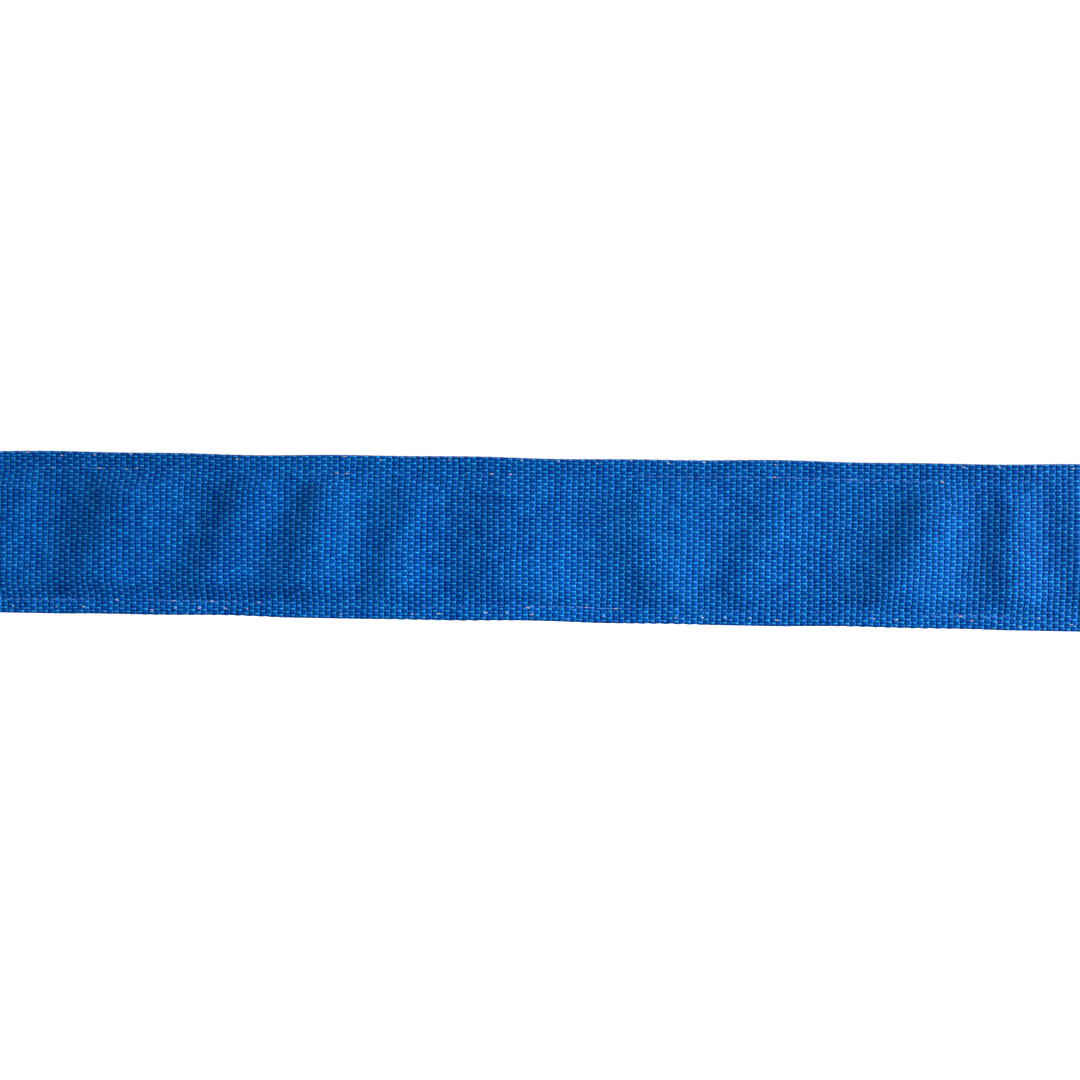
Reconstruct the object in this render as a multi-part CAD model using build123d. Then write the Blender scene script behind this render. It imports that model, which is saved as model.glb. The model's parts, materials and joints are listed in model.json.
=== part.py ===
from build123d import *
from math import acos, atan2, cos, degrees, hypot, pi, radians, sin
import os

# A gait belt: a two-ply, 2 inch webbing belt with a spring-loaded cam buckle, fastened into a
# loop and standing on its edge, as it is worn round a waist.  Millimetres, +Z up.
#
# The belt is drawn flat on the ground first, as one route that starts at the folded-back fixed
# end, turns round the anchor pin, goes once round the waist, passes through the buckle and ends
# at the tip of the tail.  A place on it is a distance s along the route and a depth t measured
# from the inner face towards the outer face.  The wearer's back is along -Y and the buckle is
# along +Y.  Last, the loop is tipped a little about its front edge, because the buckle is wider
# than the webbing and stands on its own ear.

# ---------------------------------------------------------------- driving dimensions
# webbing
BELT_LENGTH = 1524.0          # 60 inches from the fixed end to the tail's end, laid flat
BELT_WIDTH = 50.8             # 2 inches
PLY = 1.3                     # thickness of one ply
THICK = 2 * PLY
INNER_SETBACK = 0.4           # the inner ply is this much narrower at each edge
THREAD = 0.2                  # how far a stitch stands proud of the webbing
THREAD_WIDTH = 0.7
LOWER_SEAM_INSET = 4.4        # seam line to the belt's edge
UPPER_SEAM_INSET = 5.4
MID_WIDTH = BELT_WIDTH / 2

# the loop
FRONT_STRAIGHT = 366.0        # the flat stretch across the wearer's back
SOFT_RADIUS = 95.0            # each end of the loop is a tight bend between two soft ones
SOFT_TURN = 40.0
TIGHT_RADIUS = 58.0
TIGHT_TURN = 180.0 - 2 * SOFT_TURN
TAIL_RADIUS = 140.0           # the tail springs away from the loop at the corner
TAIL_TURN = 60.0              # more than the tail ever uses

# the fold round the anchor pin
SEWN_LENGTH = 46.0            # folded end that is sewn down
DIP_RADIUS = 12.0             # where the fold opens to pass round the pin
FOLD_GAP = 0.45               # between the folded end and the belt, filled by the stitches
LEAD_TO_PIN = 2.0
BOX_STITCH_INSET = 4.0        # from the fold's end and from the dip
BOX_STITCH_EDGE = 9.5         # from the belt's edges

# the buckle, in its own plane: u along the strap towards the tail, n out from the wearer
PLATE = 1.8                   # sheet metal
STRAP_OVER_PLATE = 2.1        # inner face of the free strap
STRAP_BEHIND_PIN = -1.1       # inner face of the fixed strap
LAYER_STEP = STRAP_OVER_PLATE - STRAP_BEHIND_PIN
EAR_GAP = 1.4                 # strap edge to ear
EAR_IN = MID_WIDTH + EAR_GAP
EAR_OUT = EAR_IN + PLATE
PIVOT_X = 44.0                # where the cam pivot is along the loop
PIVOT_N = 9.9
ANCHOR_U = 24.0
ANCHOR_RADIUS = 1.8
WRAP_RADIUS = ANCHOR_RADIUS + 0.25
ANCHOR_N = STRAP_BEHIND_PIN - WRAP_RADIUS
PLATE_FRONT_U = -22.0
PLATE_BACK_U = 18.6
SHOULDER_LENGTH = 32.6        # where the base plate reaches out to the ears
EAR_ROUND = 5.0               # radius of the ear round the pivot
LOBE_ROUND = 4.5              # and round the anchor pin
EAR_CORNER = 1.0
LOBE_CORNER = 1.5
PIVOT_RADIUS = 2.0
EAR_FIT = 0.02                # radial clearance of a pin in the ears
LEVER_FIT = 0.06              # running clearance of the lever on its pin
HEAD_THICK = 1.1
PIVOT_HEAD_RADIUS = 3.2
ANCHOR_HEAD_RADIUS = 3.0

# the cam lever
LEVER_ANGLE = 20.0            # how far the thumb plate stands up when it grips
HUB_RADIUS = 4.4
HUB_HALF = 23.4
THUMB_HALF = 24.6
THUMB_NEAR = 3.4              # lower face of the thumb plate, from the pivot's centre line
THUMB_THICK = 2.0
THUMB_REACH = 26.0            # to where the tip starts to curl
THUMB_CORNER = 5.0
CURL_RADIUS = 9.0
CURL_TURN = 35.0
TOOTH_TIP_N = 5.0 - PIVOT_N   # the teeth stand just clear of the stitches
TOOTH_ROOT_N = TOOTH_TIP_N + 0.8
TOOTH_U = (1.0, 2.7, 4.4)
TOOTH_HALF = 0.75
TOOTH_GROOVES = 11
GROOVE_PITCH = 4.0
GROOVE_WIDTH = 1.3

# the return springs
WIRE = 1.0
COIL_RADIUS = 2.75
COIL_TURNS = 2                # whole turns, before the last part turn to the ear
COIL_PITCH = 1.06
COIL_STEPS = 34               # short straight runs that make up the coil
SPRING_INNER_Z = 23.95        # mid-line of the leg under the thumb plate
LEG_LENGTH = 17.0
SPRING_HOLE_U = 6.5
SPRING_HOLE_N = 7.2
SPRING_HOLE_RADIUS = 0.6

# sliding keeper, label and tip
KEEPER_WIDTH = 25.0
KEEPER_THICK = 1.2
KEEPER_GAP = 0.35
KEEPER_X = -112.0
KEEPER_LAP = 16.0
BARTACK_PITCH = 5.0
BARTACK_INSET = 3.0
LABEL_LENGTH = 42.0
LABEL_HEIGHT = 30.0
LABEL_THICK = 0.35
LABEL_START = 10.0            # into the bend
TIP_LENGTH = 15.0
TIP_SHEET = 0.6
TIP_SLACK = 0.1               # between the tail's cut end and the metal
TIP_SETBACK = 0.3             # the metal is this much narrower at each edge
DIMPLES = 3                   # pinch marks on each face
DIMPLE_PITCH = 14.0
DIMPLE_WIDTH = 3.0            # at the face, narrowing to the flat floor
DIMPLE_FLOOR = 1.2
DIMPLE_DEPTH = 0.35


# ---------------------------------------------------------------- the route of the belt
class Route:
    """Straight runs and tangent arcs, followed along the inner face of the belt."""

    def __init__(self, legs):
        self.legs = legs      # (length, turn in degrees, left is positive)
        self.shift = (0.0, 0.0)

    def place(self, s):
        """The point and the heading, in radians, at distance s."""
        x, y, heading = self.shift[0], self.shift[1], 0.0
        for length, turn in self.legs:
            part = min(s, length)
            if turn == 0:
                x += part * cos(heading)
                y += part * sin(heading)
            else:
                radius = length / radians(turn)
                after = heading + part / radius
                x += radius * (sin(after) - sin(heading))
                y -= radius * (cos(after) - cos(heading))
                heading = after
            s -= part
            if s <= 0:
                break
        return x, y, heading

    def point(self, s, t):
        """The point at distance s and depth t; the outer face is on the right of the heading."""
        x, y, heading = self.place(s)
        return x + t * sin(heading), y - t * cos(heading)

    def edges(self, s0, s1, t):
        """The lines and arcs from s0 to s1, at depth t."""
        made, begin = [], 0.0
        for length, turn in self.legs:
            low, high = max(s0, begin), min(s1, begin + length)
            if high - low > 1e-6:
                first, last = self.point(low + 1e-9, t), self.point(high - 1e-9, t)
                if made:
                    first = made[-1] @ 1
                if turn == 0:
                    made.append(Edge.make_line(first, last))
                else:
                    middle = self.point((low + high) / 2, t)
                    made.append(Edge.make_three_point_arc(first, middle, last))
            begin += length
        return made


def arc_leg(radius, turn):
    return radius * abs(radians(turn)), turn


def loop_end(apex=0.0):
    """The half turn at one end of the loop, with an optional short run at its middle."""
    soft = arc_leg(SOFT_RADIUS, SOFT_TURN)
    tight = arc_leg(TIGHT_RADIUS, TIGHT_TURN / 2)
    return [soft, tight, (apex, 0.0), tight, soft] if apex else [soft, tight, tight, soft]


def belt_route():
    dip_drop = WRAP_RADIUS * 2 - FOLD_GAP
    dip_turn = degrees(acos(1 - dip_drop / (2 * DIP_RADIUS)))
    anchor_x = PIVOT_X - ANCHOR_U
    corner_x = FRONT_STRAIGHT / 2
    legs = [
        (SEWN_LENGTH, 0.0),
        arc_leg(DIP_RADIUS, -dip_turn),
        arc_leg(DIP_RADIUS, dip_turn),
        (LEAD_TO_PIN, 0.0),
        arc_leg(WRAP_RADIUS, 180.0),
        (corner_x + anchor_x, 0.0),
        *loop_end(),
        (FRONT_STRAIGHT, 0.0),
        *loop_end(apex=LAYER_STEP),
        (FRONT_STRAIGHT, 0.0),
        arc_leg(TAIL_RADIUS, TAIL_TURN),
    ]
    route = Route(legs)
    after_wrap = sum(leg[0] for leg in legs[:5])
    x, y, _ = route.place(after_wrap)
    route.shift = (anchor_x - x, REAR_Y + STRAP_BEHIND_PIN - y)
    return route


SOFT_COS = cos(radians(SOFT_TURN))
LOOP_DEPTH = 2 * SOFT_RADIUS * (1 - SOFT_COS) + 2 * TIGHT_RADIUS * SOFT_COS
REAR_Y = THICK + LOOP_DEPTH - STRAP_BEHIND_PIN        # the buckle plate's face towards the wearer
ROUTE = belt_route()
AFTER_WRAP = sum(leg[0] for leg in ROUTE.legs[:5])
REAR_LEFT_END = AFTER_WRAP + ROUTE.legs[5][0]


def band(s0, s1, t0, t1, z0, z1):
    """A strip of the belt: from s0 to s1 along it, t0 to t1 deep and z0 to z1 across."""
    inner = ROUTE.edges(s0, s1, t0)
    outer = ROUTE.edges(s0, s1, t1)
    caps = [
        Edge.make_line(inner[0] @ 0, outer[0] @ 0),
        Edge.make_line(inner[-1] @ 1, outer[-1] @ 1),
    ]
    face = Face(Wire(inner + outer + caps))
    return Pos(0, 0, z0) * extrude(face, z1 - z0, dir=(0, 0, 1))


def seam(z):
    """One seam's thread, standing on the outer face; inside, it sinks into the ply."""
    low, high = z - THREAD_WIDTH / 2, z + THREAD_WIDTH / 2
    start, end = 2.0, BELT_LENGTH - TIP_LENGTH - 1.0
    return [band(start, end, THICK, THICK + THREAD, low, high)]


# ---------------------------------------------------------------- webbing
def outer_webbing():
    return [band(0.0, BELT_LENGTH, PLY, THICK, 0.0, BELT_WIDTH)]


def inner_webbing():
    return [band(0.0, BELT_LENGTH, 0.0, PLY, INNER_SETBACK, BELT_WIDTH - INNER_SETBACK)]


def thread_bar(x0, z0, x1, z1, y0, y1):
    """A run of stitches lying flat in the buckle's plane."""
    length = hypot(x1 - x0, z1 - z0)
    angle = degrees(atan2(z1 - z0, x1 - x0))
    bar = Box(length + THREAD_WIDTH, y1 - y0, THREAD_WIDTH)
    return Pos((x0 + x1) / 2, (y0 + y1) / 2, (z0 + z1) / 2) * Rot(0, -angle, 0) * bar


def box_of_stitches(x0, x1, z0, z1, y0, y1):
    """A sewn box with a cross in it."""
    corners = [(x0, z0), (x1, z0), (x1, z1), (x0, z1)]
    sides = [(corners[i], corners[(i + 1) % 4]) for i in range(4)]
    runs = sides + [(corners[0], corners[2]), (corners[1], corners[3])]
    bars = [thread_bar(*a, *b, y0, y1) for a, b in runs]
    return Part() + bars


def anchor_box_stitch():
    fold_x, _, _ = ROUTE.place(0.0)
    x0, x1 = fold_x + BOX_STITCH_INSET, fold_x + SEWN_LENGTH - BOX_STITCH_INSET
    z0, z1 = BOX_STITCH_EDGE, BELT_WIDTH - BOX_STITCH_EDGE
    front = REAR_Y + STRAP_BEHIND_PIN + THICK
    back = REAR_Y + STRAP_BEHIND_PIN - FOLD_GAP - THICK
    return [
        box_of_stitches(x0, x1, z0, z1, front, front + THREAD),
        box_of_stitches(x0, x1, z0, z1, back - THREAD, back),
    ]


def care_label():
    start = REAR_LEFT_END + LABEL_START
    z0 = MID_WIDTH - LABEL_HEIGHT / 2
    return [band(start, start + LABEL_LENGTH, -LABEL_THICK, 0.0, z0, z0 + LABEL_HEIGHT)]


def label_stitch():
    start = REAR_LEFT_END + LABEL_START
    z0, z1 = MID_WIDTH - LABEL_HEIGHT / 2 + 1.5, MID_WIDTH + LABEL_HEIGHT / 2 - 1.5
    face = -LABEL_THICK
    places = [start + 1.8, start + LABEL_LENGTH - 1.8 - THREAD_WIDTH]
    return [band(s, s + THREAD_WIDTH, face - THREAD, face, z0, z1) for s in places]


def tip_dimples():
    """Where the tail's metal end is pinched on to the webbing, on both faces."""
    s = BELT_LENGTH - TIP_LENGTH / 2
    floor = Rectangle(DIMPLE_FLOOR, DIMPLE_FLOOR)
    wide = 2 * DIMPLE_WIDTH - DIMPLE_FLOOR
    punch = loft([floor, Pos(0, 0, 2 * DIMPLE_DEPTH) * Rectangle(wide, wide)])
    marks = []
    for face, out in ((-TIP_SHEET, -1), (THICK + TIP_SHEET, 1)):
        x0, y0 = ROUTE.point(s, face - out * DIMPLE_DEPTH)
        x1, y1 = ROUTE.point(s, face)
        for i in range(DIMPLES):
            z = MID_WIDTH + (i - (DIMPLES - 1) / 2) * DIMPLE_PITCH
            marks.append(Plane(origin=(x0, y0, z), z_dir=(x1 - x0, y1 - y0, 0)) * punch)
    return marks


def tail_tip():
    """A sheet metal end folded over the tail and pinched on to it."""
    start = BELT_LENGTH - TIP_LENGTH
    inside = BELT_LENGTH + TIP_SLACK
    low, high = TIP_SETBACK, BELT_WIDTH - TIP_SETBACK
    shell = band(start, inside + TIP_SHEET, -TIP_SHEET, THICK + TIP_SHEET, low, high)
    room = band(start - 5, inside, 0.0, THICK, -1.0, BELT_WIDTH + 1.0)
    return [shell - room - tip_dimples()]


# ---------------------------------------------------------------- keeper
def keeper_ring(gap, x0, x1):
    """A block round both layers of the belt, gap clear of them."""
    low = REAR_Y + STRAP_BEHIND_PIN - THREAD - gap
    high = REAR_Y + STRAP_OVER_PLATE + THICK + THREAD + gap
    block = Box(x1 - x0, high - low, BELT_WIDTH + 2 * gap)
    block = fillet(block.edges().filter_by(Axis.X), 0.4 + gap * 0.6)
    return Pos((x0 + x1) / 2, (low + high) / 2, MID_WIDTH) * block


def keeper_back():
    """The keeper's face towards the wearer, under the lapped end."""
    return REAR_Y + STRAP_BEHIND_PIN - THREAD - KEEPER_GAP - KEEPER_THICK


def sliding_keeper():
    x0, x1 = KEEPER_X - KEEPER_WIDTH / 2, KEEPER_X + KEEPER_WIDTH / 2
    ring = keeper_ring(KEEPER_GAP + KEEPER_THICK, x0, x1) - keeper_ring(KEEPER_GAP, x0 - 1, x1 + 1)
    lap = Box(KEEPER_WIDTH, KEEPER_THICK, KEEPER_LAP)
    lap = Pos(KEEPER_X, keeper_back() - KEEPER_THICK / 2, MID_WIDTH) * lap
    return [ring + lap]


def keeper_bartack():
    face = keeper_back() - KEEPER_THICK
    half = KEEPER_WIDTH / 2 - BARTACK_INSET
    return [
        thread_bar(KEEPER_X - half, z, KEEPER_X + half, z, face - THREAD, face)
        for z in (MID_WIDTH - BARTACK_PITCH, MID_WIDTH, MID_WIDTH + BARTACK_PITCH)
    ]


# ---------------------------------------------------------------- buckle
# A buckle piece is drawn with u along +X, n along +Y and z measured from the strap's middle.
def in_buckle(piece):
    """Puts a buckle piece in its place on the loop, where u runs along -X."""
    turned = mirror(piece, about=Plane.YZ)
    return Pos(PIVOT_X, REAR_Y, MID_WIDTH) * turned


def side_plate(outline, z0, z1):
    return Pos(0, 0, z0) * extrude(outline, z1 - z0, dir=(0, 0, 1))


def spot(u, n, radius):
    return Pos(u, n) * Circle(radius)


def hull(*shapes):
    return make_hull([edge for shape in shapes for edge in shape.edges()])


def ear_outline():
    front_u, back_u = PLATE_BACK_U - SHOULDER_LENGTH - EAR_CORNER, PLATE_BACK_U - EAR_CORNER
    upright = hull(
        spot(0, PIVOT_N, EAR_ROUND),
        spot(front_u, EAR_CORNER, EAR_CORNER),
        spot(back_u, EAR_CORNER, EAR_CORNER),
    )
    lobe = hull(
        spot(ANCHOR_U, ANCHOR_N, LOBE_ROUND),
        spot(12.5, LOBE_CORNER, LOBE_CORNER),
        spot(18.0, 5.0, LOBE_CORNER),
    )
    holes = [
        spot(0, PIVOT_N, PIVOT_RADIUS + EAR_FIT),
        spot(ANCHOR_U, ANCHOR_N, ANCHOR_RADIUS + EAR_FIT),
        spot(SPRING_HOLE_U, SPRING_HOLE_N, SPRING_HOLE_RADIUS),
    ]
    return upright + lobe - holes


def buckle_frame():
    """A stamped channel: a base plate under the strap and an ear folded up at each side."""
    length = PLATE_BACK_U - PLATE_FRONT_U
    base = Pos(PLATE_FRONT_U + length / 2, PLATE / 2, 0) * Box(length, PLATE, 2 * EAR_IN + 0.2)
    lips = base.edges().filter_by(Axis.Z).group_by(Axis.X)
    base = fillet(lips[0], PLATE * 0.45)
    shoulder = Box(SHOULDER_LENGTH, PLATE, 2 * EAR_OUT)
    shoulder = Pos(PLATE_BACK_U - EAR_CORNER - SHOULDER_LENGTH / 2, PLATE / 2, 0) * shoulder
    ears = [side_plate(ear_outline(), EAR_IN, EAR_OUT), side_plate(ear_outline(), -EAR_OUT, -EAR_IN)]
    frame = base + shoulder + ears
    return [in_buckle(frame)]


def headed_pin(u, n, radius, head_radius):
    """A pin across both ears, peened into a low head outside each."""
    shank = Cylinder(radius, 2 * EAR_OUT)
    head = chamfer(Cylinder(head_radius, HEAD_THICK).edges().group_by(Axis.Z)[-1], 0.5)
    upper = Pos(0, 0, EAR_OUT + HEAD_THICK / 2) * head
    lower = mirror(upper, about=Plane.XY)
    return [in_buckle(Pos(u, n, 0) * (shank + upper + lower))]


def pivot_pin():
    return headed_pin(0.0, PIVOT_N, PIVOT_RADIUS, PIVOT_HEAD_RADIUS)


def anchor_pin():
    return headed_pin(ANCHOR_U, ANCHOR_N, ANCHOR_RADIUS, ANCHOR_HEAD_RADIUS)


def thumb_outline():
    """The thumb plate's side view, running along -u, with its tip curled up."""
    near, far = THUMB_NEAR, THUMB_NEAR + THUMB_THICK
    centre_n = near + CURL_RADIUS

    def curl(radius, turn):
        a = radians(turn)
        return -THUMB_REACH - radius * sin(a), centre_n - radius * cos(a)

    inner = CURL_RADIUS - THUMB_THICK
    edges = [
        Edge.make_line((1.0, near), (-THUMB_REACH, near)),
        Edge.make_three_point_arc(curl(CURL_RADIUS, 0), curl(CURL_RADIUS, CURL_TURN / 2),
                                  curl(CURL_RADIUS, CURL_TURN)),
        Edge.make_line(curl(CURL_RADIUS, CURL_TURN), curl(inner, CURL_TURN)),
        Edge.make_three_point_arc(curl(inner, CURL_TURN), curl(inner, CURL_TURN / 2), curl(inner, 0)),
        Edge.make_line((-THUMB_REACH, far), (1.0, far)),
        Edge.make_line((1.0, far), (1.0, near)),
    ]
    return Face(Wire(edges))


def thumb_plate():
    """The thumb plate with rounded corners, level, with the pivot at the origin."""
    plate = side_plate(thumb_outline(), -THUMB_HALF, THUMB_HALF)
    reach = THUMB_REACH + CURL_RADIUS * sin(radians(CURL_TURN))
    plan = RectangleRounded(2 * reach, 2 * THUMB_HALF, THUMB_CORNER)
    return plate & extrude(Plane.XZ * plan, -2 * reach)


def cam_nose():
    """The toothed nose, as a side view about the pivot: ridges parallel to the strap."""
    points = [(-2.0, -2.0), (TOOTH_U[0] - TOOTH_HALF, TOOTH_ROOT_N)]
    for u in TOOTH_U:
        points.append((u, TOOTH_TIP_N))
        points.append((u + TOOTH_HALF, TOOTH_ROOT_N))
    points.append((5.6, TOOTH_ROOT_N + 1.5))
    points.append((4.0, 1.5))
    return Face(Wire.make_polygon([Vector(u, n) for u, n in points], close=True))


def tooth_grooves():
    """Grooves that part each ridge into single teeth."""
    half = (TOOTH_GROOVES - 1) / 2
    slot = Box(6.0, 0.9, GROOVE_WIDTH)
    middle_u, middle_n = TOOTH_U[1], TOOTH_TIP_N + 0.25
    return [Pos(middle_u, middle_n, (i - half) * GROOVE_PITCH) * slot for i in range(TOOTH_GROOVES)]


def cam_lever():
    wedge = Pos(-3.0, THUMB_NEAR + THUMB_THICK / 2) * Rectangle(8.0, THUMB_THICK)
    hub_side = Rot(0, 0, -LEVER_ANGLE) * hull(Circle(HUB_RADIUS), wedge)
    hub = side_plate(hub_side, -HUB_HALF, HUB_HALF)
    nose = side_plate(cam_nose(), -HUB_HALF, HUB_HALF)
    thumb = Rot(0, 0, -LEVER_ANGLE) * thumb_plate()
    bore = Cylinder(PIVOT_RADIUS + LEVER_FIT, 3 * HUB_HALF)
    lever = hub + nose + thumb - bore - tooth_grooves()
    return [in_buckle(Pos(0, PIVOT_N, 0) * lever)]


def torsion_spring():
    """One spring of bent wire: a leg under the thumb plate, a coil and a leg hooked in the ear."""
    hole = Vector(SPRING_HOLE_U, SPRING_HOLE_N - PIVOT_N)
    first = radians(90.0 - LEVER_ANGLE)
    last = atan2(hole.Y, hole.X) + acos(COIL_RADIUS / hole.length) - 2 * pi * COIL_TURNS
    rise = COIL_PITCH * (first - last) / (2 * pi)
    coil = []
    for step in range(COIL_STEPS + 1):
        part = step / COIL_STEPS
        a = first + (last - first) * part
        coil.append(Vector(COIL_RADIUS * cos(a), COIL_RADIUS * sin(a), SPRING_INNER_Z + rise * part))
    leg_end = coil[0] + Vector(-sin(first), cos(first)) * LEG_LENGTH
    elbow = Vector(hole.X, hole.Y, coil[-1].Z)
    hook_end = Vector(hole.X, hole.Y, EAR_OUT - PLATE / 2)
    wire = Polyline([leg_end, *coil, elbow, hook_end])
    section = Plane(wire @ 0, z_dir=wire % 0) * Circle(WIRE / 2)
    return sweep(section, path=wire, transition=Transition.RIGHT)


def torsion_springs():
    upper = Pos(0, PIVOT_N, 0) * torsion_spring()
    return [in_buckle(upper), in_buckle(mirror(upper, about=Plane.XY))]


# ---------------------------------------------------------------- the whole belt
PIECES = {
    "outer_webbing": outer_webbing,
    "inner_webbing": inner_webbing,
    "upper_edge_seam": lambda: seam(BELT_WIDTH - UPPER_SEAM_INSET),
    "lower_edge_seam": lambda: seam(LOWER_SEAM_INSET),
    "anchor_box_stitch": anchor_box_stitch,
    "care_label": care_label,
    "label_stitch": label_stitch,
    "tail_tip": tail_tip,
    "sliding_keeper": sliding_keeper,
    "keeper_bartack": keeper_bartack,
    "buckle_frame": buckle_frame,
    "anchor_pin": anchor_pin,
    "pivot_pin": pivot_pin,
    "cam_lever": cam_lever,
    "torsion_springs": torsion_springs,
}


def tip_on_to_the_ground():
    """Tips the loop about its front edge until the buckle's lowest pin head is level with it."""
    head_y = REAR_Y + ANCHOR_N - ANCHOR_HEAD_RADIUS
    head_z = MID_WIDTH - EAR_OUT - HEAD_THICK
    return degrees(atan2(-head_z, head_y))


def main():
    os.makedirs("parts", exist_ok=True)
    tip = Rot(tip_on_to_the_ground(), 0, 0)
    tipped = {name: tip * Compound(children=make()) for name, make in PIECES.items()}
    box = Compound(children=[piece.moved(Location()) for piece in tipped.values()]).bounding_box()
    to_origin = Pos(-(box.min.X + box.max.X) / 2, -(box.min.Y + box.max.Y) / 2, -box.min.Z)
    for name, piece in tipped.items():
        export_step(to_origin * piece, f"parts/{name}.step")
    place = to_origin * tip
    print("tipped by", tip_on_to_the_ground(), "degrees; overall size", box.size)
    print("the loop's own zero is at", place.position)
    print("the cam pivot is at", (place * Pos(PIVOT_X, REAR_Y + PIVOT_N, MID_WIDTH)).position)


main()
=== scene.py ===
import json
import math
import random

import bpy
import numpy as np
from mathutils import Matrix, Vector


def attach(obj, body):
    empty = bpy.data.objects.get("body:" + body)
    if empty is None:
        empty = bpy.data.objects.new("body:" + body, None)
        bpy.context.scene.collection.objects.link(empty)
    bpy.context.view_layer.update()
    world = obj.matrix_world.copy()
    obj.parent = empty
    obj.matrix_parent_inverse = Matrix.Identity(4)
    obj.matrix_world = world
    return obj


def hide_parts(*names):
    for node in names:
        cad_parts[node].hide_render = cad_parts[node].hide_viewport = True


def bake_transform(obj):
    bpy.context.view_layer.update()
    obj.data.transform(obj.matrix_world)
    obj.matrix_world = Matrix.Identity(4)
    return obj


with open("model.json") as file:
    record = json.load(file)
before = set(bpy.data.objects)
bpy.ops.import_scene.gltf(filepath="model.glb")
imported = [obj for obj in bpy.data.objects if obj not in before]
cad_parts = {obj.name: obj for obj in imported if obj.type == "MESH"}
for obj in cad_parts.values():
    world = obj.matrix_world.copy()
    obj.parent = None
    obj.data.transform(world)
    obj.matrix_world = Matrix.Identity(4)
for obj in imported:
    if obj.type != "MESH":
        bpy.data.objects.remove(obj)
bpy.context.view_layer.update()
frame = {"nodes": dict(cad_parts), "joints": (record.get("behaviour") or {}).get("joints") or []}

# The looks of a gait belt: two plies of coarse webbing sewn along both edges, puckered between the
# seams, and a nickel-plated cam buckle.  Everything soft is drawn along one route, as the belt
# itself runs: a place on it is s metres along, w metres up across the width and t metres out from
# the inner face.  The route is the frame's own, in a level loop that is then tipped with it.

MM = 0.001

# ---------------------------------------------------------------- the belt's dimensions, metres
BELT_LENGTH = 1524.0 * MM
BELT_WIDTH = 50.8 * MM
PLY = 1.3 * MM
THICK = 2 * PLY
INNER_SETBACK = 0.4 * MM
LOWER_SEAM = 4.4 * MM
UPPER_SEAM = BELT_WIDTH - 5.4 * MM
MID_WIDTH = BELT_WIDTH / 2
PICK = 1.86 * MM                 # one weft pick to the next, along the belt
END = 1.90 * MM                  # one floating warp end to the next in the same pick, across it
WEAVE_RELIEF = 0.38 * MM
STITCH_PITCH, STITCH_LENGTH = 3.0 * MM, 2.5 * MM

FRONT_STRAIGHT = 366.0 * MM
SOFT_RADIUS, SOFT_TURN = 95.0 * MM, 40.0
TIGHT_RADIUS = 58.0 * MM
TAIL_RADIUS = 140.0 * MM
SEWN_LENGTH = 46.0 * MM
DIP_RADIUS = 12.0 * MM
FOLD_GAP = 0.45 * MM
LEAD_TO_PIN = 2.0 * MM
WRAP_RADIUS = 2.05 * MM
STRAP_OVER_PLATE = 2.1 * MM
STRAP_BEHIND_PIN = -1.1 * MM
LAYER_STEP = STRAP_OVER_PLATE - STRAP_BEHIND_PIN
PIVOT_X, PIVOT_N = 44.0 * MM, 9.9 * MM
ANCHOR_X = PIVOT_X - 24.0 * MM
PLATE_FRONT_X = PIVOT_X + 22.0 * MM
TIP_LENGTH = 15.0 * MM
LABEL_START, LABEL_LENGTH, LABEL_HEIGHT, LABEL_THICK = 10.0 * MM, 42.0 * MM, 30.0 * MM, 0.35 * MM
LABEL_CLEAR = 0.02 * MM          # between the label and the belt
KEEPER_X, KEEPER_WIDTH = -112.0 * MM, 25.0 * MM
KEEPER_GAP, KEEPER_THICK, KEEPER_LAP = 0.35 * MM, 1.2 * MM, 16.0 * MM
KEEPER_CLEAR = 0.03 * MM         # between its lapped ends
THREAD = 0.2 * MM
EAR_OUT = 28.6 * MM
WIRE, COIL_RADIUS, COIL_PITCH, COIL_TURNS = 1.0 * MM, 2.75 * MM, 1.06 * MM, 2
SPRING_Z, LEG_LENGTH, LEVER_ANGLE = 23.95 * MM, 17.0 * MM, 20.0
SPRING_HOLE = (6.5 * MM, -2.7 * MM)


# ---------------------------------------------------------------- the route
def arc_leg(radius, turn):
    return radius * abs(math.radians(turn)), math.radians(turn)


def loop_end(apex=0.0):
    """One end of the loop: soft shoulders, a tighter middle and a straight apex."""
    half = 90.0 - SOFT_TURN
    soft, tight = arc_leg(SOFT_RADIUS, SOFT_TURN), arc_leg(TIGHT_RADIUS, half)
    return [soft, tight, (apex, 0.0), tight, soft]


SOFT_COS = math.cos(math.radians(SOFT_TURN))
LOOP_DEPTH = 2 * SOFT_RADIUS * (1 - SOFT_COS) + 2 * TIGHT_RADIUS * SOFT_COS
REAR_Y = THICK + LOOP_DEPTH - STRAP_BEHIND_PIN
DIP_TURN = math.degrees(math.acos(1 - (2 * WRAP_RADIUS - FOLD_GAP) / (2 * DIP_RADIUS)))
FOLD_LEGS = [
    (SEWN_LENGTH, 0.0),
    arc_leg(DIP_RADIUS, -DIP_TURN),
    arc_leg(DIP_RADIUS, DIP_TURN),
    (LEAD_TO_PIN, 0.0),
    arc_leg(WRAP_RADIUS, 180.0),
]
REAR_RUN = FRONT_STRAIGHT / 2 + ANCHOR_X
LEGS = [
    *FOLD_LEGS,
    (REAR_RUN, 0.0),
    *loop_end(),
    (FRONT_STRAIGHT, 0.0),
    *loop_end(apex=LAYER_STEP),
    (FRONT_STRAIGHT, 0.0),
    arc_leg(TAIL_RADIUS, 60.0),
]
END_RUN = sum(leg[0] for leg in loop_end())
AFTER_WRAP = sum(leg[0] for leg in FOLD_LEGS)
LEFT_CORNER = AFTER_WRAP + REAR_RUN
FRONT_START = LEFT_CORNER + END_RUN
FRONT_END = FRONT_START + FRONT_STRAIGHT
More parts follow.
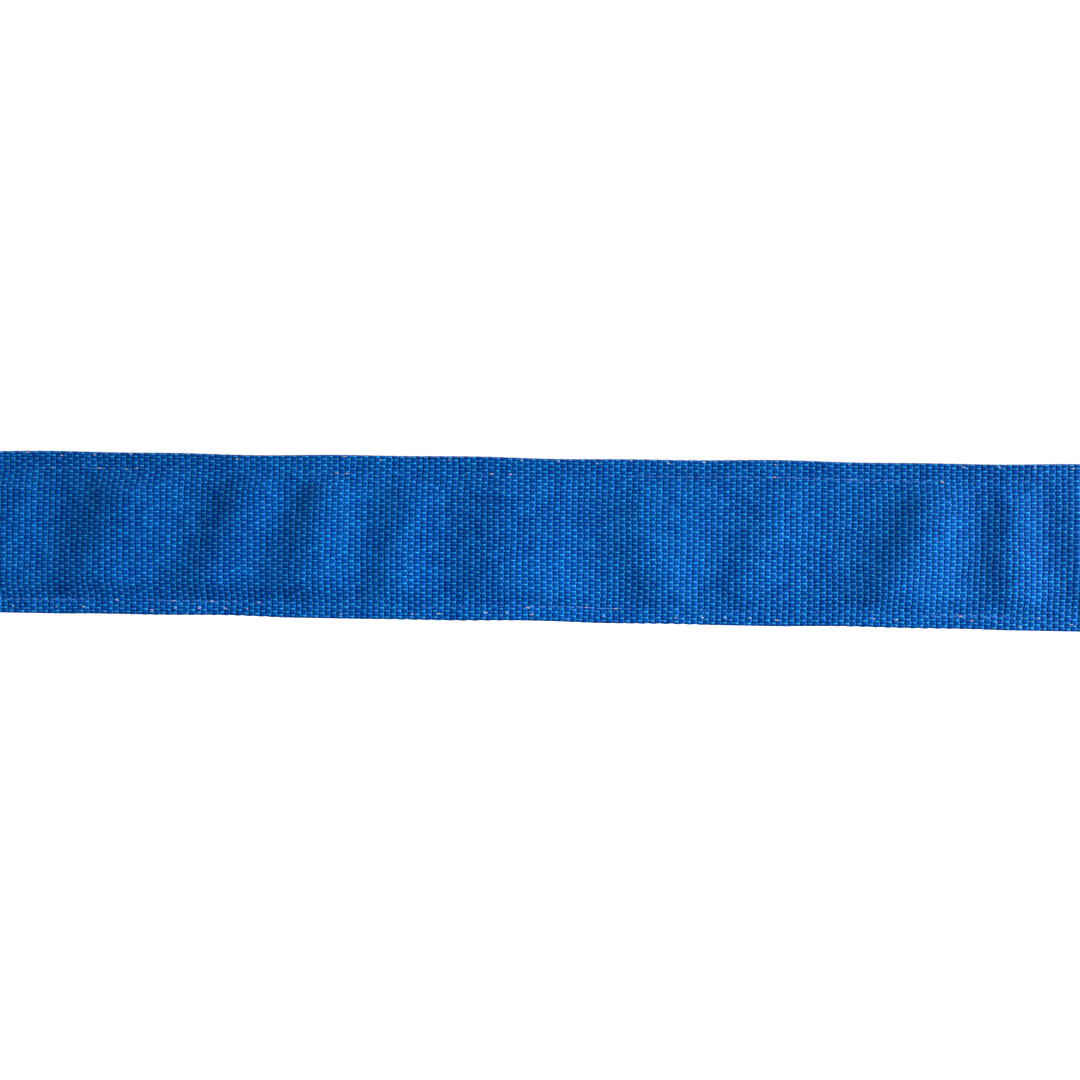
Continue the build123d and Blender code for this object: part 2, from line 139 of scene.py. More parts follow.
RIGHT_CORNER = FRONT_END + END_RUN + LAYER_STEP
PLATE_START = RIGHT_CORNER + FRONT_STRAIGHT / 2 - PLATE_FRONT_X
TAIL_START = RIGHT_CORNER + FRONT_STRAIGHT / 2 - ANCHOR_X


def leg_starts():
    """Each leg's first distance, point and heading, with the route's wrap set on the anchor."""
    rows, s, x, y, heading = [], 0.0, 0.0, 0.0, 0.0
    for length, turn in LEGS:
        rows.append((s, length, turn, x, y, heading))
        if turn == 0:
            x += length * math.cos(heading)
            y += length * math.sin(heading)
        else:
            radius = length / turn
            x += radius * (math.sin(heading + turn) - math.sin(heading))
            y -= radius * (math.cos(heading + turn) - math.cos(heading))
            heading += turn
        s += length
    shift_x = ANCHOR_X - rows[len(FOLD_LEGS)][3]
    shift_y = REAR_Y + STRAP_BEHIND_PIN - rows[len(FOLD_LEGS)][4]
    return [(s, n, turn, x + shift_x, y + shift_y, h) for s, n, turn, x, y, h in rows]


LEG_STARTS = leg_starts()


def place(s):
    """The route's points and outward directions at the distances s."""
    s = np.atleast_1d(np.asarray(s, float))
    x, y, heading = np.zeros_like(s), np.zeros_like(s), np.zeros_like(s)
    for begin, length, turn, x0, y0, h0 in LEG_STARTS:
        on = s >= begin - 1e-12
        along = s[on] - begin
        if turn == 0 or length == 0:
            x[on] = x0 + along * math.cos(h0)
            y[on] = y0 + along * math.sin(h0)
            heading[on] = h0
        else:
            radius = length / turn
            now = h0 + along / radius
            x[on] = x0 + radius * (np.sin(now) - math.sin(h0))
            y[on] = y0 - radius * (np.cos(now) - math.cos(h0))
            heading[on] = now
    return np.stack([x, y], 1), np.stack([np.sin(heading), -np.cos(heading)], 1)


def row_frame():
    """The level loop's place in the row frame, from the lever's own hinge."""
    hinge = next(j for j in frame["joints"] if j["name"] == "lever_press")
    tip = math.atan2(hinge["axis"][1], -hinge["axis"][2])
    level = Vector((PIVOT_X, REAR_Y + PIVOT_N, MID_WIDTH))
    tilt = Matrix.Rotation(tip, 4, "X")
    return Matrix.Translation(hinge["pos_m"]) @ tilt @ Matrix.Translation(-level)


TO_ROW = row_frame()


def smooth(x, low, high):
    """Rises from 0 at low to 1 at high, level at both."""
    x = np.clip((np.asarray(x, float) - low) / (high - low), 0, 1)
    return x * x * (3 - 2 * x)


# ---------------------------------------------------------------- puckers
# A ridge of the outer ply between the seams, as its left flank and its right flank: where each is
# half way up the belt, measured in millimetres from the middle of the front, how far each leans
# along the belt from the lower edge to the upper one, and then the ridge's height.
FRONT_RIDGES = [
    (-176, 6, -161, 6, 1.9), (-145, 24, -121, 13, 3.2), (-104, 21, -89, 20, 2.6),
    (-78, 22, -61, 4, 2.7), (-50, 6, -36, 9, 1.8), (-21, 1, 3, 3, 2.0),
    (26, -17, 47, 10, 1.8), (61, 17, 75, 20, 1.3),
    (107, 23, 124, 22, 2.4), (138.5, -2, 150, -6, 1.6), (160, -12, 172, -8, 1.0),
]


def all_ridges():
    """Each ridge as (left flank, its lean, right flank, its lean, height), in metres."""
    middle = FRONT_START + FRONT_STRAIGHT / 2
    ridges = [(middle + left * MM, lean * MM, middle + right * MM, also * MM, high * MM)
              for left, lean, right, also, high in FRONT_RIDGES]
    rng = random.Random(41)
    for begin, end in ((AFTER_WRAP, FRONT_START + 6 * MM), (FRONT_END - 6 * MM, BELT_LENGTH)):
        s = begin + rng.uniform(4, 12) * MM
        while s < end:
            wide = rng.uniform(10, 20) * MM
            lean, also = rng.uniform(-12, 22), rng.uniform(-8, 20)
            high = rng.uniform(1.0, 2.4)
            ridges.append((s, lean * MM, s + wide, also * MM, high * MM))
            s += wide + rng.uniform(9, 19) * MM
    return ridges


RIDGES = all_ridges()


def looseness(s):
    """How free the outer ply is to stand up: nought where something presses it flat."""
    under_tail = 0.12 + 0.88 * smooth(s, LEFT_CORNER + 46 * MM, LEFT_CORNER + 76 * MM)
    to_buckle = 1 - smooth(s, PLATE_START - 34 * MM, PLATE_START - 8 * MM)
    tail = 0.17 * smooth(s, TAIL_START + 4 * MM, TAIL_START + 16 * MM)
    tail = tail * (1 - smooth(s, BELT_LENGTH - TIP_LENGTH - 12 * MM, BELT_LENGTH - TIP_LENGTH))
    out_of_wrap = smooth(s, AFTER_WRAP, AFTER_WRAP + 10 * MM)
    return under_tail * out_of_wrap * to_buckle + tail


def between_seams(w):
    """The seams hold the ply down, and it is free 7 mm in from them."""
    above_lower = smooth(w, LOWER_SEAM, LOWER_SEAM + 7 * MM)
    return above_lower * (1 - smooth(w, UPPER_SEAM - 7 * MM, UPPER_SEAM))


def ridge(s, w, left, left_lean, right, right_lean, high):
    """A rounded ridge whose steepest places are its two flanks."""
    level = (w - MID_WIDTH) / BELT_WIDTH
    low_side, high_side = left + left_lean * level, right + right_lean * level
    gap = np.maximum(high_side - low_side, 5 * MM)
    crest = low_side + 0.45 * gap
    reach = np.where(s < crest, 0.45, 0.55) * gap
    return high * np.exp(-np.clip((s - crest) / reach, -6, 6) ** 2 / 2)


def pucker(s, w):
    """How far the outer ply stands off the inner one, for a grid of s down and w across."""
    s, w = np.asarray(s, float)[:, None], np.asarray(w, float)[None, :]
    high = 0.3 * MM * np.ones(np.broadcast_shapes(s.shape, w.shape))
    for row in RIDGES:
        left, right = row[0], row[2]
        near = (s[:, 0] > left - 80 * MM) & (s[:, 0] < right + 80 * MM)
        if near.any():
            high[near] += ridge(s[near], w, *row)
    ripple = np.sin(s / (5.1 * MM) + w / (9 * MM)) * np.sin(s / (13.7 * MM) - w / (7 * MM))
    return (high + 0.10 * MM * ripple) * between_seams(w) * looseness(s)


# Stretches of the front, from its middle, where a seam's thread lies on top of the cloth and pulls
# a deeper valley; elsewhere it beds down between the picks.
PROUD_LOWER = [(-170, -146), (-124, -97), (-4, 24), (118, 140)]
PROUD_UPPER = [(-150, -136), (28, 116)]


def proud(s, seam):
    """From 0 to 1, how much of the thread lies on top of the cloth."""
    middle = FRONT_START + FRONT_STRAIGHT / 2
    stretches = PROUD_LOWER if seam == LOWER_SEAM else PROUD_UPPER
    from_middle = s - middle
    on_front = 0.0
    for begin, end in stretches:
        on_front = on_front + smooth(from_middle, (begin - 3) * MM, begin * MM)
        on_front = on_front - smooth(from_middle, end * MM, (end + 3) * MM)
    wandering = 0.5 + 0.5 * np.sin(s / (9 * MM) + seam * 700)
    off_front = np.where((s < FRONT_START) | (s > FRONT_END), wandering, 0)
    return np.clip(on_front + off_front, 0, 1)


def seam_dip(s, w):
    """The small valley that each row of stitches pulls into the cloth."""
    s, w = np.asarray(s, float)[:, None], np.asarray(w, float)[None, :]
    dip = np.zeros(np.broadcast_shapes(s.shape, w.shape))
    for seam in (LOWER_SEAM, UPPER_SEAM):
        pull = (0.16 + 0.2 * proud(s, seam)) * (1 + 0.25 * np.cos(2 * np.pi * s / STITCH_PITCH))
        dip += pull * MM * np.exp(-((w - seam) / (1.0 * MM)) ** 2)
    return dip


def sway(s, w):
    """The slow waviness of the whole belt, (out, up), where nothing holds it."""
    free = smooth(s, LEFT_CORNER + 60 * MM, LEFT_CORNER + 110 * MM)
    free = free * (1 - smooth(s, RIGHT_CORNER - 30 * MM, RIGHT_CORNER + 30 * MM))
    s, w, free = s[:, None], np.asarray(w, float)[None, :], free[:, None]
    up_side = (w - MID_WIDTH) / MID_WIDTH
    out = 0.35 * np.sin(s / (31 * MM)) + 0.3 * up_side * np.sin(s / (23 * MM) + 1.3)
    up = 0.18 * np.sin(s / (17 * MM) + up_side) + 0.12 * np.sin(s / (7.3 * MM) - 2 * up_side)
    return out * MM * free, (up * MM) * free * np.abs(up_side) + 0 * s


def outer_face(s, w):
    """Depth of the belt's outer face."""
    return THICK + pucker(s, w) - seam_dip(s, w) * 0.9


def outer_ply_back(s, w):
    return PLY + pucker(s, w) - seam_dip(s, w) * 0.2


def inner_ply_front(s, w):
    return PLY - 0.02 * MM - seam_dip(s, w) * 0.35


def inner_face(s, w):
    """Depth of the face against the wearer."""
    return seam_dip(s, w) * 0.5


# ---------------------------------------------------------------- mesh helpers
def new_piece(name, points, faces, body, material, marks=None):
    """A mesh object in the row frame from points of the level loop.  marks is the place of each
    point on the flat belt, which the weave reads."""
    mesh = bpy.data.meshes.new(name)
    points = np.asarray(points, float)
    turn = np.array(TO_ROW)
    points = points @ turn[:3, :3].T + turn[:3, 3]
    mesh.from_pydata(points.tolist(), [], [list(f) for f in faces])
    if marks is not None:
        layer = mesh.attributes.new("belt", "FLOAT_VECTOR", "POINT")
        layer.data.foreach_set("vector", np.asarray(marks, np.float32).ravel())
    mesh.polygons.foreach_set("use_smooth", [True] * len(mesh.polygons))
    mesh.update()
    piece = bpy.data.objects.new(name, mesh)
    bpy.context.scene.collection.objects.link(piece)
    mesh.materials.append(material)
    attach(piece, body)
    return piece


def on_route(s, t, w):
    """Points at distances s (n), depths t (n, k) and heights w (n, k)."""
    at, out = place(s)
    xy = at[:, None, :] + t[..., None] * out[:, None, :]
    return np.concatenate([xy, w[..., None]], axis=2)


def width_columns(low, high, step):
    """Heights across a ply: close together at the rounded edges and the seams."""
    edge = np.array([0.0, 0.05, 0.18, 0.38, 0.65, 1.4, 2.4]) * MM
    by_seam = np.array([-1.3, -0.8, -0.4, 0, 0.4, 0.8, 1.3]) * MM
    count = round((UPPER_SEAM - LOWER_SEAM) / step)
    inside = np.linspace(LOWER_SEAM + 2.6 * MM, UPPER_SEAM - 2.6 * MM, count)
    rows = [low + edge, LOWER_SEAM + by_seam, UPPER_SEAM + by_seam, inside, high - edge]
    return np.unique(np.concatenate(rows))


def round_off(w, low, high):
    """The half thickness across a ply, as a share, rounded at both edges."""
    radius = PLY / 2
    near = np.clip(np.minimum(w - low, high - w) / radius, 0, 1)
    return np.sqrt(np.clip(1 - (1 - near) ** 2, 0, 1))


def girth(w, low, high):
    """The width measured over the rounded edge, so that the weave runs round it evenly."""
    radius = PLY / 2
    d_low, d_high = np.clip((w - low) / radius, 0, 1), np.clip((high - w) / radius, 0, 1)
    wrap = radius * (np.pi / 2 - 1)
    low_part = np.where(d_low < 1, radius * (1 - np.arcsin(1 - d_low) - d_low), 0)
    high_part = np.where(d_high < 1, radius * (1 - np.arcsin(1 - d_high) - d_high), 0)
    return w + np.clip(low_part, -wrap, wrap) - np.clip(high_part, -wrap, wrap)


def distances(fine, coarse):
    """Rows along the belt: fine in front, finest round the anchor pin."""
    parts = [
        np.arange(0.0, SEWN_LENGTH, coarse),
        np.arange(SEWN_LENGTH, AFTER_WRAP + 3 * MM, 0.4 * MM),
        np.arange(AFTER_WRAP + 3 * MM, FRONT_START, coarse),
        np.arange(FRONT_START, FRONT_END, fine),
        np.arange(FRONT_END, BELT_LENGTH, coarse),
        [BELT_LENGTH],
    ]
    return np.concatenate(parts)


def ribbon(name, rows, across, near, far, low, high, body, material):
    """A closed strip with rounded edges.  rows is (s, origin, outward, (level, sideways)) along its
    length, across its columns from low to high; near and far are the depths of its two faces."""
    s, origin, outward, (level, sideways) = rows
    share = round_off(across, low, high)
    middle, half = (near + far) / 2, (far - near) / 2 * share[None, :]
    depth = np.concatenate([middle + half, (middle - half)[:, -2:0:-1]], axis=1)
    level = np.concatenate([level, level[:, -2:0:-1]], axis=1)
    points = origin[:, None, :] + depth[..., None] * outward[:, None, :] + level[..., None] * sideways
    count, ring, n = len(s), depth.shape[1], len(across)
    i, j = np.meshgrid(np.arange(count - 1), np.arange(ring), indexing="ij")
    after = (j + 1) % ring
    row, ahead = i * ring, (i + 1) * ring
    quads = np.stack([row + j, ahead + j, ahead + after, row + after], -1)
    faces = quads.reshape(-1, 4).tolist()
    for end, turned in ((0, False), (count - 1, True)):
        first = end * ring
        cap = [[first, first + 1, first + ring - 1]]
        for k in range(1, n - 2):
            cap.append([first + k, first + k + 1, first + ring - k - 1, first + ring - k])
        cap.append([first + n - 2, first + n - 1, first + n])
        faces += [c[::-1] for c in cap] if turned else cap
    around = girth(across, low, high)
    marks = np.zeros((count, ring, 3))
    marks[..., 0] = s[:, None]
    marks[..., 1] = np.concatenate([around, around[-2:0:-1]])[None, :]
    return new_piece(name, points.reshape(-1, 3), faces, body, material, marks.reshape(-1, 3))


def ply(name, s, low, high, step, near, far, material, node):
    """One ply of the belt, between the depths near(s, w) and far(s, w)."""
    w = width_columns(low, high, step)
    out, up = sway(s, w)
    at, outward = place(s)
    level = w[None, :] + up + edge_loops(s, w, low, high)
    rows = (s, lift(at), lift(outward), (level, np.array([0.0, 0.0, 1.0])))
    near, far = near(s, w) + out, far(s, w) + out
    piece = ribbon(name, rows, w, near, far, low, high, "belt", material)
    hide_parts(node)
    return piece


def lift(flat):
    """Points or directions of the loop's plane, as rows of three."""
    return np.concatenate([flat, np.zeros((len(flat), 1))], axis=1)


def edge_loops(s, w, low, high):
    """The small loops of weft that show along the edges, one to two picks."""
    s, w = s[:, None], w[None, :]
    at_low = np.maximum(1 - (w - low) / (1.3 * MM), 0)
    at_high = np.maximum(1 - (high - w) / (1.3 * MM), 0)
    to_edge = at_low - at_high
    size = (0.07 + 0.04 * np.sin(s / (11.3 * MM))) * np.where(to_edge > 0, 1.0, 0.45)
    return to_edge * size * MM * (1 + np.cos(np.pi * s / PICK + np.sin(s / (19 * MM))))


def capsules(name, ends, radius, body, material, sides=6):
    """Many short round-ended lengths of thread as one mesh; ends is a list of (a, b, out)."""
    profile = [(-0.42, 0.62), (-0.22, 0.95), (0.0, 1.0), (0.22, 0.95), (0.42, 0.62)]
    points, faces = [], []
    for a, b, out in ends:
        a, b, out = Vector(a), Vector(b), Vector(out)
        along = (b - a).normalized()
        side = along.cross(out).normalized()
        first = len(points)
        middle = (a + b) / 2
        for share, wide in profile:
            centre = middle + (b - a) * share
            for k in range(sides):
                turn = 2 * math.pi * k / sides
                points.append(centre + (side * math.cos(turn) + out * math.sin(turn)) * radius * wide)
        for r in range(len(profile) - 1):
            for k in range(sides):
                p, q = first + r * sides, first + (r + 1) * sides
                faces.append((p + k, q + k, q + (k + 1) % sides, p + (k + 1) % sides))
        points += [a, b]
        start, finish = len(points) - 2, len(points) - 1
        last = first + (len(profile) - 1) * sides
        for k in range(sides):
            faces.append((first + k, first + (k + 1) % sides, start))
            faces.append((last + (k + 1) % sides, last + k, finish))
    return new_piece(name, points, faces, body, material)


def stitch_ends(s0, s1, w, face, outward, rng):
    """A row of stitches along the belt, lying on one of its faces."""
    count = int((s1 - s0) / STITCH_PITCH)
    starts = s0 + STITCH_PITCH * np.arange(count)
    shift = np.array([rng.uniform(-0.12, 0.12) for _ in starts]) * MM
    height = w + np.array([rng.uniform(-0.15, 0.15) for _ in starts]) * MM
    height += 0.25 * MM * np.sin(starts / (27 * MM))
    rows = []
    for s, ds, level in zip(starts, shift, height):
        pair = np.array([s + ds, s + ds + STITCH_LENGTH])
        depth = face(pair, [level])
        out, up = sway(pair, [level])
        sign = 1 if outward else -1
        stand = sign * (0.20 * proud(s, w) - 0.12) * MM
        points = on_route(pair, depth + out + stand, np.full((2, 1), level) + up)
        normal = place(pair)[1][0] * sign
        rows.append((points[0, 0], points[1, 0], (normal[0], normal[1], 0.0)))
    return rows


# ---------------------------------------------------------------- materials
class Graph:
    """A material's node tree, with short names for what the materials here use."""

    def __init__(self, name):
        self.material = bpy.data.materials.new(name)
        self.material.use_nodes = True
        self.tree = self.material.node_tree
        self.shader = self.tree.nodes["Principled BSDF"]

    def node(self, kind, **settings):
        made = self.tree.nodes.new(kind)
        for key, value in settings.items():
            setattr(made, key, value)
        return made

    def feed(self, socket, value):
        if isinstance(value, bpy.types.NodeSocket):
            self.tree.links.new(value, socket)
        else:
            socket.default_value = value

    def calc(self, operation, *values, clamp=False):
        made = self.node("ShaderNodeMath", operation=operation, use_clamp=clamp)
        for socket, value in zip(made.inputs, values):
            self.feed(socket, value)
        return made.outputs[0]

    def mix(self, factor, a, b):
        made = self.node("ShaderNodeMix", data_type="RGBA")
        self.feed(made.inputs[0], factor)
        self.feed(made.inputs[6], a)
        self.feed(made.inputs[7], b)
        return made.outputs[2]

    def belt(self):
        """The place on the flat belt, along it and across it, from the mesh."""
        made = self.node("ShaderNodeAttribute", attribute_name="belt")
        split = self.node("ShaderNodeSeparateXYZ")
        self.tree.links.new(made.outputs["Vector"], split.inputs[0])
        return split.outputs[0], split.outputs[1]

    def noise(self, scale, detail=2.0, vector=None):
        made = self.node("ShaderNodeTexNoise")
        made.inputs["Scale"].default_value = scale
        made.inputs["Detail"].default_value = detail
        if vector is None:
            vector = self.node("ShaderNodeTexCoord").outputs["Object"]
        self.tree.links.new(vector, made.inputs["Vector"])
        return made.outputs[0]

    def join(self, x, y, z=0.0):
        made = self.node("ShaderNodeCombineXYZ")
        for socket, value in zip(made.inputs, (x, y, z)):
            self.feed(socket, value)
        return made.outputs[0]

    def chance(self, value):
        """A number from 0 to 1 that is the same wherever value is the same."""
        made = self.node("ShaderNodeTexWhiteNoise", noise_dimensions="1D")
        self.feed(made.inputs["W"], value)
        return made.outputs[0]

    def bump(self, height, distance, strength=1.0):
        made = self.node("ShaderNodeBump")
        made.inputs["Distance"].default_value = distance
        made.inputs["Strength"].default_value = strength
        self.tree.links.new(height, made.inputs["Height"])
        return made.outputs[0]


def weave(g, along, across, pick, end):
    """Plain weave: plump weft picks across the belt, each crossed by thin floats of warp.  Gives the
    height, how far a place is float, plump pick and the pick's flank, and the two threads' numbers;
    the float and flank shares carry a painted highlight."""
    c = g.calc
    turns = c("DIVIDE", along, pick)
    bulge = c("COSINE", c("MULTIPLY", c("DIVIDE", across, end), 2 * math.pi))
    bulge = c("MULTIPLY", bulge, c("COSINE", c("MULTIPLY", turns, math.pi)))
    turns = c("ADD", turns, c("MULTIPLY", bulge, 0.11))
    column = c("FLOOR", turns)
    beside = c("MULTIPLY", c("ABSOLUTE", c("SUBTRACT", c("FRACT", turns), 0.5)), 2.0)
    odd = c("MODULO", c("ABSOLUTE", column), 2.0)
    turn = c("ADD", c("DIVIDE", across, end), c("MULTIPLY", odd, 0.5))
    from_float = c("ABSOLUTE", c("SUBTRACT", c("FRACT", turn), 0.5))
    from_plump = c("SUBTRACT", 1.0, c("MULTIPLY", from_float, 2.0))

    def dome(value, reach, power):
        inside = c("SUBTRACT", 1.0, c("POWER", c("DIVIDE", value, reach), power), clamp=True)
        return c("POWER", inside, 0.5)

    swell = dome(from_plump, 0.79, 2.4)
    plump = c("MULTIPLY", dome(beside, 0.90, 2.4), c("ADD", 0.25, c("MULTIPLY", swell, 0.75)))
    arch = c("SUBTRACT", 0.95, c("MULTIPLY", c("POWER", beside, 2.0), 0.5))
    over = c("MULTIPLY", dome(from_float, 0.15, 2.0), arch)
    height = c("MAXIMUM", plump, over)
    # painted highlight along the middle of each warp float
    float_sheen = c("MULTIPLY", dome(from_float, 0.105, 3.0), dome(beside, 0.96, 5.0))
    # painted highlight on both flanks of each plump pick, strongest at its middle
    flank = c("MULTIPLY", c("MULTIPLY", c("POWER", beside, 1.5), dome(beside, 0.86, 5.0)), swell)
    return height, float_sheen, plump, flank, column, turn


def webbing_material(name, gap_shade, body, bright):
    """Coarse webbing: painted shade in the gaps between threads, body on the picks, and a painted
    highlight on the floats and on the picks' flanks.
    """
    g = Graph(name)
    c = g.calc
    along, across = g.belt()
    wander = g.noise(70.0, 2.0, g.join(along, across))
    along = c("ADD", along, c("MULTIPLY", c("SUBTRACT", wander, 0.5), 1.2 * MM))
    drift = g.noise(60.0, 2.0, g.join(across, along))
    across = c("ADD", across, c("MULTIPLY", c("SUBTRACT", drift, 0.5), 0.9 * MM))
    height, float_sheen, plump, flank, column, turn = weave(g, along, across, PICK, END)
    pick_tone = c("SUBTRACT", g.chance(column), 0.5)
    crossing = c("ADD", c("MULTIPLY", column, 17.0), c("FLOOR", turn))
    stitch_tone = c("SUBTRACT", g.chance(crossing), 0.5)
    fibre = g.noise(1.0, 3.0, g.join(c("MULTIPLY", along, 7000.0), c("MULTIPLY", across, 1500.0)))
    patch = g.noise(24.0, 3.0)
    tone = c("ADD", c("MULTIPLY", pick_tone, 0.12), c("MULTIPLY", stitch_tone, 0.4))
    tone = c("ADD", tone, c("MULTIPLY", c("SUBTRACT", fibre, 0.5), 0.9))
    tone = c("ADD", tone, c("MULTIPLY", c("SUBTRACT", patch, 0.5), 0.4))
    # Painted shade: the colour falls to the gap colour away from the crests of the plump picks.
    lit = c("ADD", c("MULTIPLY", c("POWER", plump, 2.0), 0.85), c("MULTIPLY", tone, 0.6), clamp=True)
    colour = g.mix(lit, gap_shade, body)
    # Painted highlight: the bright colour laid on the warp floats and on the picks' flanks.
    float_highlight = c("MULTIPLY", float_sheen, c("ADD", 1.0, tone))
    flank_highlight = c("MULTIPLY", flank, c("ADD", 0.42, tone))
    glint = c("ADD", c("MAXIMUM", float_highlight, flank_highlight), 0.0, clamp=True)
    colour = g.mix(glint, colour, bright)
    g.feed(g.shader.inputs["Base Color"], colour)
    g.feed(g.shader.inputs["Roughness"], c("SUBTRACT", 0.60, c("MULTIPLY", height, 0.12)))
    g.shader.inputs["Specular IOR Level"].default_value = 0.12
    g.shader.inputs["Specular Tint"].default_value = (0.02, 0.5, 1.0, 1.0)
    relief = c("ADD", height, c("MULTIPLY", fibre, 0.22))
    g.feed(g.shader.inputs["Normal"], g.bump(relief, WEAVE_RELIEF))
    return g.material


def ribbed_material(name, gap_shade, body):
    """Narrow woven band: fine ribs across it, with painted shade in the gaps between them."""
    g = Graph(name)
    c = g.calc
    along, across = g.belt()
    height = weave(g, along, across, 0.9 * MM, 1.1 * MM)[0]
    fibre = g.noise(1.0, 3.0, g.join(c("MULTIPLY", along, 7000.0), c("MULTIPLY", across, 1500.0)))
    lit = c("ADD", c("MULTIPLY", height, 0.8), c("MULTIPLY", c("SUBTRACT", fibre, 0.5), 0.4), clamp=True)
    g.feed(g.shader.inputs["Base Color"], g.mix(lit, gap_shade, body))
    g.shader.inputs["Roughness"].default_value = 0.6
    g.shader.inputs["Specular IOR Level"].default_value = 0.12
    g.shader.inputs["Specular Tint"].default_value = (0.02, 0.5, 1.0, 1.0)
    g.feed(g.shader.inputs["Normal"], g.bump(height, 0.3 * MM))
    return g.material


def label_material():
    """Blank satin tape: long shiny floats and a faint cloudy, slightly warm white."""
    g = Graph("label_satin")
    c = g.calc
    along, across = g.belt()
    threads = g.noise(1.0, 2.0, g.join(c("MULTIPLY", along, 600.0), c("MULTIPLY", across, 9000.0)))
    cloud = g.noise(60.0, 3.0)
    g.feed(g.shader.inputs["Base Color"], g.mix(cloud, (0.72, 0.71, 0.68, 1), (0.82, 0.81, 0.79, 1)))
    g.feed(g.shader.inputs["Roughness"], c("ADD", 0.38, c("MULTIPLY", threads, 0.2)))
    g.feed(g.shader.inputs["Normal"], g.bump(threads, 0.06 * MM))
    return g.material


def thread_material(name, colour, light):
    """Twisted thread, mottled from its colour to a lighter one."""
    g = Graph(name)
    strand = g.noise(3500.0, 2.0)
    g.feed(g.shader.inputs["Base Color"], g.mix(strand, colour, light))
    g.shader.inputs["Roughness"].default_value = 0.5
    g.shader.inputs["Specular IOR Level"].default_value = 0.3
    g.feed(g.shader.inputs["Normal"], g.bump(strand, 0.08 * MM))
    return g.material


def metal_material(name, dull, bright, rough, scratch):
    """Nickel plate: fine drawn lines, faint cloudiness and small scratches."""
    g = Graph(name)
    c = g.calc
    place_on = g.node("ShaderNodeTexCoord").outputs["Object"]
    split = g.node("ShaderNodeSeparateXYZ")
    g.tree.links.new(place_on, split.inputs[0])
    x, y, z = split.outputs
    stretched = g.join(c("MULTIPLY", x, 500.0), c("MULTIPLY", y, 500.0), c("MULTIPLY", z, 9000.0))
    lines = g.noise(1.0, 3.0, stretched)
    cloud = g.noise(110.0, 4.0)
    fleck = g.noise(900.0, 2.0)
    g.feed(g.shader.inputs["Base Color"], g.mix(cloud, dull, bright))
    worn = c("ADD", c("MULTIPLY", cloud, 0.14), c("MULTIPLY", fleck, 0.06))
    g.feed(g.shader.inputs["Roughness"], c("ADD", rough, worn))
    g.shader.inputs["Metallic"].default_value = 1.0
    relief = c("ADD", c("MULTIPLY", lines, scratch), c("MULTIPLY", fleck, 0.4))
    g.feed(g.shader.inputs["Normal"], g.bump(relief, 0.02 * MM, 0.2))
    return g.material


# Each webbing's first colour is painted shade for the gaps between threads, and the belt webbings' last
# colour a painted highlight for the floats and the picks' flanks.
WEBBING = webbing_material(
    "webbing_blue", (0.0001, 0.008, 0.135, 1), (0.0003, 0.060, 0.44, 1), (0.020, 0.42, 0.92, 1))
INNER_WEBBING = webbing_material(
    "webbing_blue_inner", (0.0001, 0.008, 0.130, 1), (0.0003, 0.056, 0.41, 1), (0.018, 0.38, 0.86, 1))
KEEPER_WEBBING = ribbed_material("keeper_blue", (0.0001, 0.020, 0.18, 1), (0.0003, 0.120, 0.58, 1))
SATIN = label_material()
BLUE_THREAD = thread_material("thread_blue", (0.012, 0.085, 0.40, 1), (0.07, 0.24, 0.66, 1))
WHITE_THREAD = thread_material("thread_white", (0.60, 0.60, 0.58, 1), (0.8, 0.8, 0.78, 1))
PALE_THREAD = thread_material("thread_pale", (0.62, 0.42, 0.34, 1), (0.86, 0.68, 0.58, 1))
NICKEL = metal_material("nickel_plate", (0.56, 0.55, 0.53, 1), (0.70, 0.69, 0.67, 1), 0.12, 1.0)
SPRING_STEEL = metal_material("spring_steel", (0.30, 0.30, 0.31, 1), (0.45, 0.45, 0.46, 1), 0.28, 0.6)


# ---------------------------------------------------------------- the webbing
def build_webbing():
    """The two plies, the outer one finer because its puckers are seen from the front."""
    outer = ply("outer_ply", distances(0.9 * MM, 2.2 * MM), 0.0, BELT_WIDTH, 1.8 * MM,
                outer_ply_back, outer_face, WEBBING, "outer_webbing")
    low, high = INNER_SETBACK, BELT_WIDTH - INNER_SETBACK
    inner = ply("inner_ply", distances(2.0 * MM, 2.5 * MM), low, high, 2.4 * MM,
                inner_face, inner_ply_front, INNER_WEBBING, "inner_webbing")


def build_seams():
    """Each seam's stitches on both faces, with the pale ends of fibres here and there on them."""
    rng = random.Random(7)
    first, last = 3 * MM, BELT_LENGTH - TIP_LENGTH - 3 * MM
    for name, w in (("lower", LOWER_SEAM), ("upper", UPPER_SEAM)):
        needle = stitch_ends(first, last, w, outer_face, True, rng)
        bobbin = stitch_ends(first + STITCH_PITCH / 2, last, w, inner_face, False, rng)
        seam = capsules(name + "_seam", needle + bobbin, 0.2 * MM, "belt", BLUE_THREAD)
        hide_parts(name + "_edge_seam")
        flecks = []
        for a, b, out in needle:
            if rng.random() < 0.1:
                a, b, out = Vector(a), Vector(b), Vector(out)
                along = (b - a).normalized()
                start = a - along * 0.35 * MM + out * 0.1 * MM
                rise = Vector((0, 0, rng.uniform(-0.35, 0.35) * MM))
                flecks.append((start, start + along * rng.uniform(0.7, 1.5) * MM + rise, out))
        capsules(name + "_seam_flecks", flecks, 0.15 * MM, "belt", PALE_THREAD)


